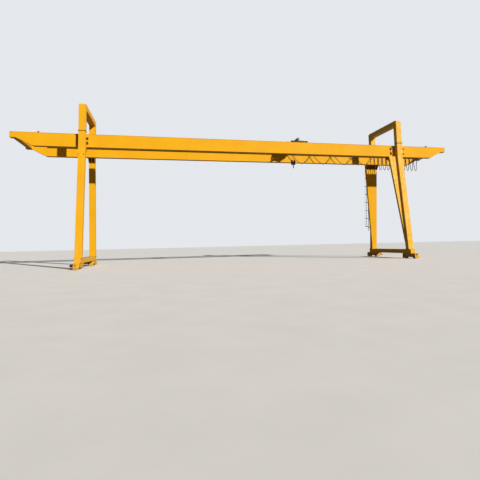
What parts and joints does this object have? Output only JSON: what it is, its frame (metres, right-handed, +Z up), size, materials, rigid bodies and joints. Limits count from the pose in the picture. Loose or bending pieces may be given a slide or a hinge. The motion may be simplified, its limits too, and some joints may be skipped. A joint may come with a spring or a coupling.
{
  "type": "double-girder rail-mounted gantry crane",
  "caption": "Rail-mounted gantry crane with two box girders on leaning legs, cantilevers at both ends, a hoist trolley on top and a hanging hook block.",
  "frame": {"origin": "on the floor under the middle of the girders, midway between the legs", "axes": "+X along the girders towards the rigid tapered legs, +Y from the near girder to the far girder, +Z up"},
  "size_m": [38.8, 7.918, 13.03],
  "materials": {
    "crane_paint": "gloss paint over welded plate, dusty, stained at the feet",
    "rail_steel": "rolled rail, bright on the running line",
    "wheel_steel": "forged steel with worn treads",
    "galvanised_steel": "dull dark finish",
    "carrier_plastic": "moulded",
    "cable_rubber": "flat rubber cable",
    "machine_paint": "dark machine enamel",
    "cabinet_paint": "light grey powder coat",
    "motor_paint": "light grey enamel, dusty",
    "drum_steel": "turned grooves, greased",
    "wire_rope": "greased strands",
    "forged_steel": "dark forging"
  },
  "bodies": {
    "gantry": {"girder_near": "crane_paint", "girder_far": "crane_paint", "end_tie_left": "crane_paint", "end_tie_right": "crane_paint", "trolley_rails": "rail_steel", "rail_stops": "crane_paint", "column_near_left": "crane_paint", "column_far_left": "crane_paint", "column_near_right": "crane_paint", "column_far_right": "crane_paint", "leg_box_near": "crane_paint", "leg_box_far": "crane_paint", "saddle_left": "crane_paint", "saddle_right": "crane_paint", "seats_left": "crane_paint", "seats_right": "crane_paint", "pads_left": "crane_paint", "pads_right": "crane_paint", "sill_left": "crane_paint", "sill_right": "crane_paint", "bogie_near_left": "crane_paint", "bogie_far_left": "crane_paint", "bogie_near_right": "crane_paint", "bogie_far_right": "crane_paint", "wheels_left": "wheel_steel", "wheels_right": "wheel_steel", "travel_drives": "machine_paint", "ladder": "galvanised_steel", "ladder_cage": "galvanised_steel", "festoon_track": "galvanised_steel", "festoon_carriers": "carrier_plastic", "festoon_cable": "cable_rubber"},
    "trolley": {"trolley_carriages": "machine_paint", "trolley_cross_beams": "machine_paint", "trolley_wheels": "wheel_steel", "drum_brackets": "machine_paint", "rope_drum": "drum_steel", "gear_case": "machine_paint", "hoist_motor": "motor_paint", "travel_motor": "motor_paint", "control_cabinet": "cabinet_paint", "head_sheaves": "wheel_steel", "tow_arm": "galvanised_steel", "hoist_ropes": "wire_rope"},
    "block": {"hook_block": "machine_paint", "block_sheaves": "wheel_steel"},
    "hook": {"hook": "forged_steel"}
  },
  "joints": [
    {"name": "trolley_travel", "type": "slide", "parent": "gantry", "child": "trolley", "axis": [1, 0, 0], "range_m": [-20.82, 12.26], "deforming": ["festoon_cable", "festoon_carriers"]},
    {"name": "hoist_lift", "type": "slide", "parent": "trolley", "child": "block", "axis": [0, 0, 1], "range_m": [-8.55, 0.9], "deforming": ["hoist_ropes"]},
    {"name": "hook_swivel", "type": "hinge", "parent": "block", "child": "hook", "pos_m": [4.28, 0, 9], "axis": [0, 0, 1], "continuous": true}
  ]
}
